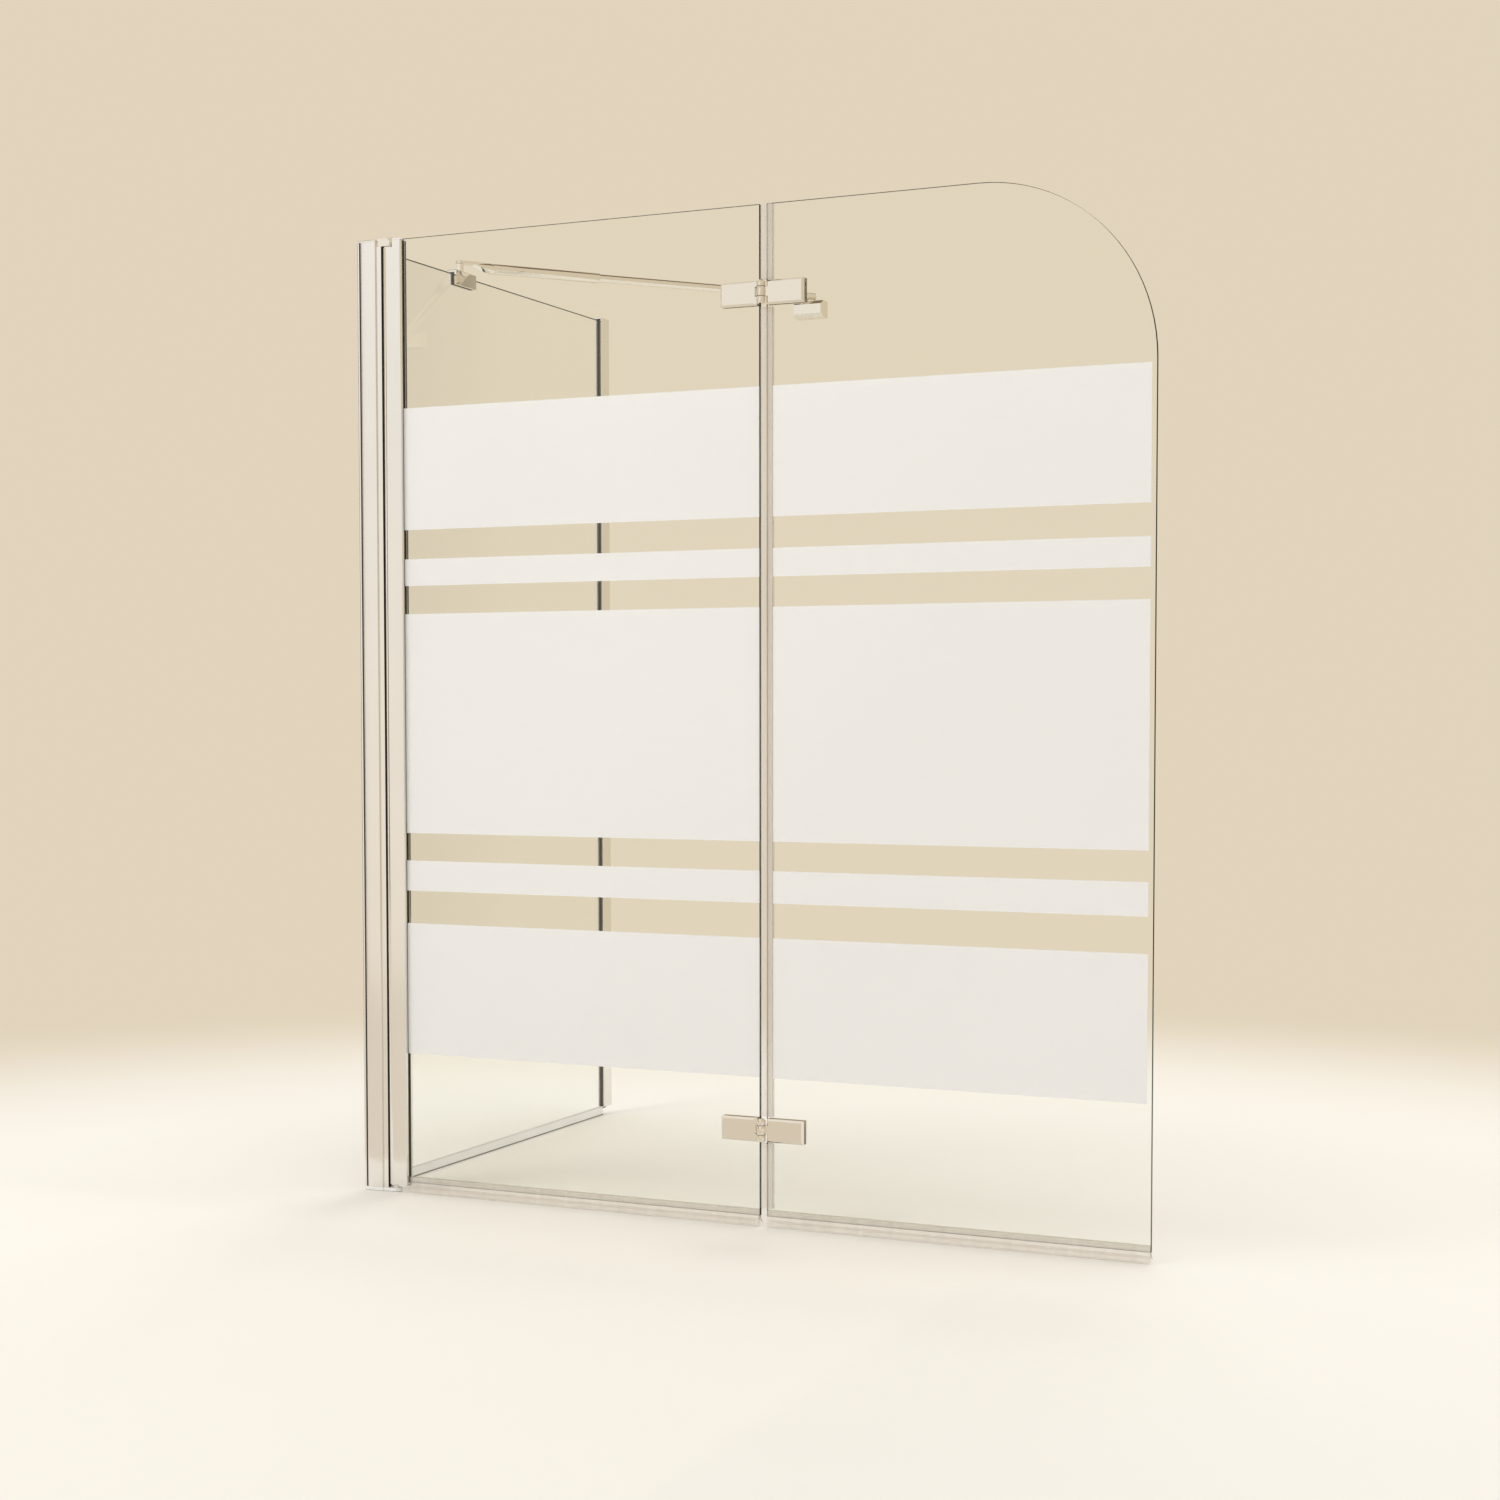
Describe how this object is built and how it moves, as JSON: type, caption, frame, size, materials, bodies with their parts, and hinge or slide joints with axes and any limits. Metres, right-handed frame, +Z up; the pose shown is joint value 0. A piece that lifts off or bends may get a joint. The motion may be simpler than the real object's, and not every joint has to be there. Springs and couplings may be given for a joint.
{
  "type": "bath screen",
  "caption": "Folding glass bath screen with a rounded free corner, frosted bands, a pivoting post profile, glass-to-glass hinges, a fixed side panel and a stabiliser bar.",
  "frame": {"origin": "on the bath rim inside the corner post's foot, where the middle planes of the side glass and of the front glass meet", "axes": "+X along the front panel from the corner post to the free edge, +Y from the front of the bath towards the wall, +Z up"},
  "size_m": [1.2, 0.756, 1.418],
  "materials": {
    "clear_glass": "clear tempered glass with frosted bands on the two front leaves",
    "polished_aluminium": "bright anodised",
    "chrome": "polished chrome plate",
    "stainless_steel": "fine turned",
    "dark_rubber": "matte",
    "grey_rubber": "matte",
    "clear_vinyl": "translucent soft vinyl",
    "white_plastic": "satin moulded"
  },
  "bodies": {
    "frame": {"bar_end_screw": "stainless_steel", "bar_eye": "chrome", "bar_inner_rod": "chrome", "bar_outer_tube": "chrome", "bottom_pivot_pin": "stainless_steel", "bracket_base_plate": "stainless_steel", "channel_cap": "polished_aluminium", "channel_gaskets": "dark_rubber", "clamp_liner": "dark_rubber", "corner_post": "polished_aluminium", "foot_plate": "white_plastic", "glass_clamp": "chrome", "glass_setting_block": "white_plastic", "hinge_rail": "polished_aluminium", "post_gaskets": "grey_rubber", "post_top_cap": "polished_aluminium", "side_glass": "clear_glass", "side_rim_seal": "white_plastic", "swivel_post": "chrome", "swivel_screw": "stainless_steel", "thrust_washer": "white_plastic", "top_pivot_block": "chrome", "top_pivot_pin": "stainless_steel", "wall_bracket": "chrome", "wall_channel": "polished_aluminium", "wiper_seal": "dark_rubber"},
    "inner_leaf": {"pivot_profile": "polished_aluminium", "profile_top_cap": "white_plastic", "profile_bottom_cap": "white_plastic", "pivot_bushes": "white_plastic", "profile_gaskets": "grey_rubber", "inner_glass": "clear_glass", "inner_bottom_seal": "clear_vinyl", "inner_hinge_screws": "stainless_steel", "hinge_pins": "chrome", "lower_hinge_inner_back": "chrome", "lower_hinge_inner_liner": "clear_vinyl", "lower_hinge_inner_plate": "chrome", "upper_hinge_inner_back": "chrome", "upper_hinge_inner_liner": "clear_vinyl", "upper_hinge_inner_plate": "chrome"},
    "outer_leaf": {"outer_glass": "clear_glass", "outer_bottom_seal": "clear_vinyl", "fold_seal": "clear_vinyl", "outer_hinge_screws": "stainless_steel", "knuckle_bushes": "white_plastic", "lower_hinge_outer_back": "chrome", "lower_hinge_outer_liner": "clear_vinyl", "lower_hinge_outer_plate": "chrome", "upper_hinge_outer_back": "chrome", "upper_hinge_outer_liner": "clear_vinyl", "upper_hinge_outer_plate": "chrome"}
  },
  "joints": [
    {"name": "post_pivot", "type": "hinge", "parent": "frame", "child": "inner_leaf", "pos_m": [0.04, 0, 0], "axis": [0, 0, -1], "range_deg": [-30, 90]},
    {"name": "fold_hinge", "type": "hinge", "parent": "inner_leaf", "child": "outer_leaf", "pos_m": [0.64, -0.01, 0], "axis": [0, 0, -1], "range_deg": [0, 180]}
  ]
}
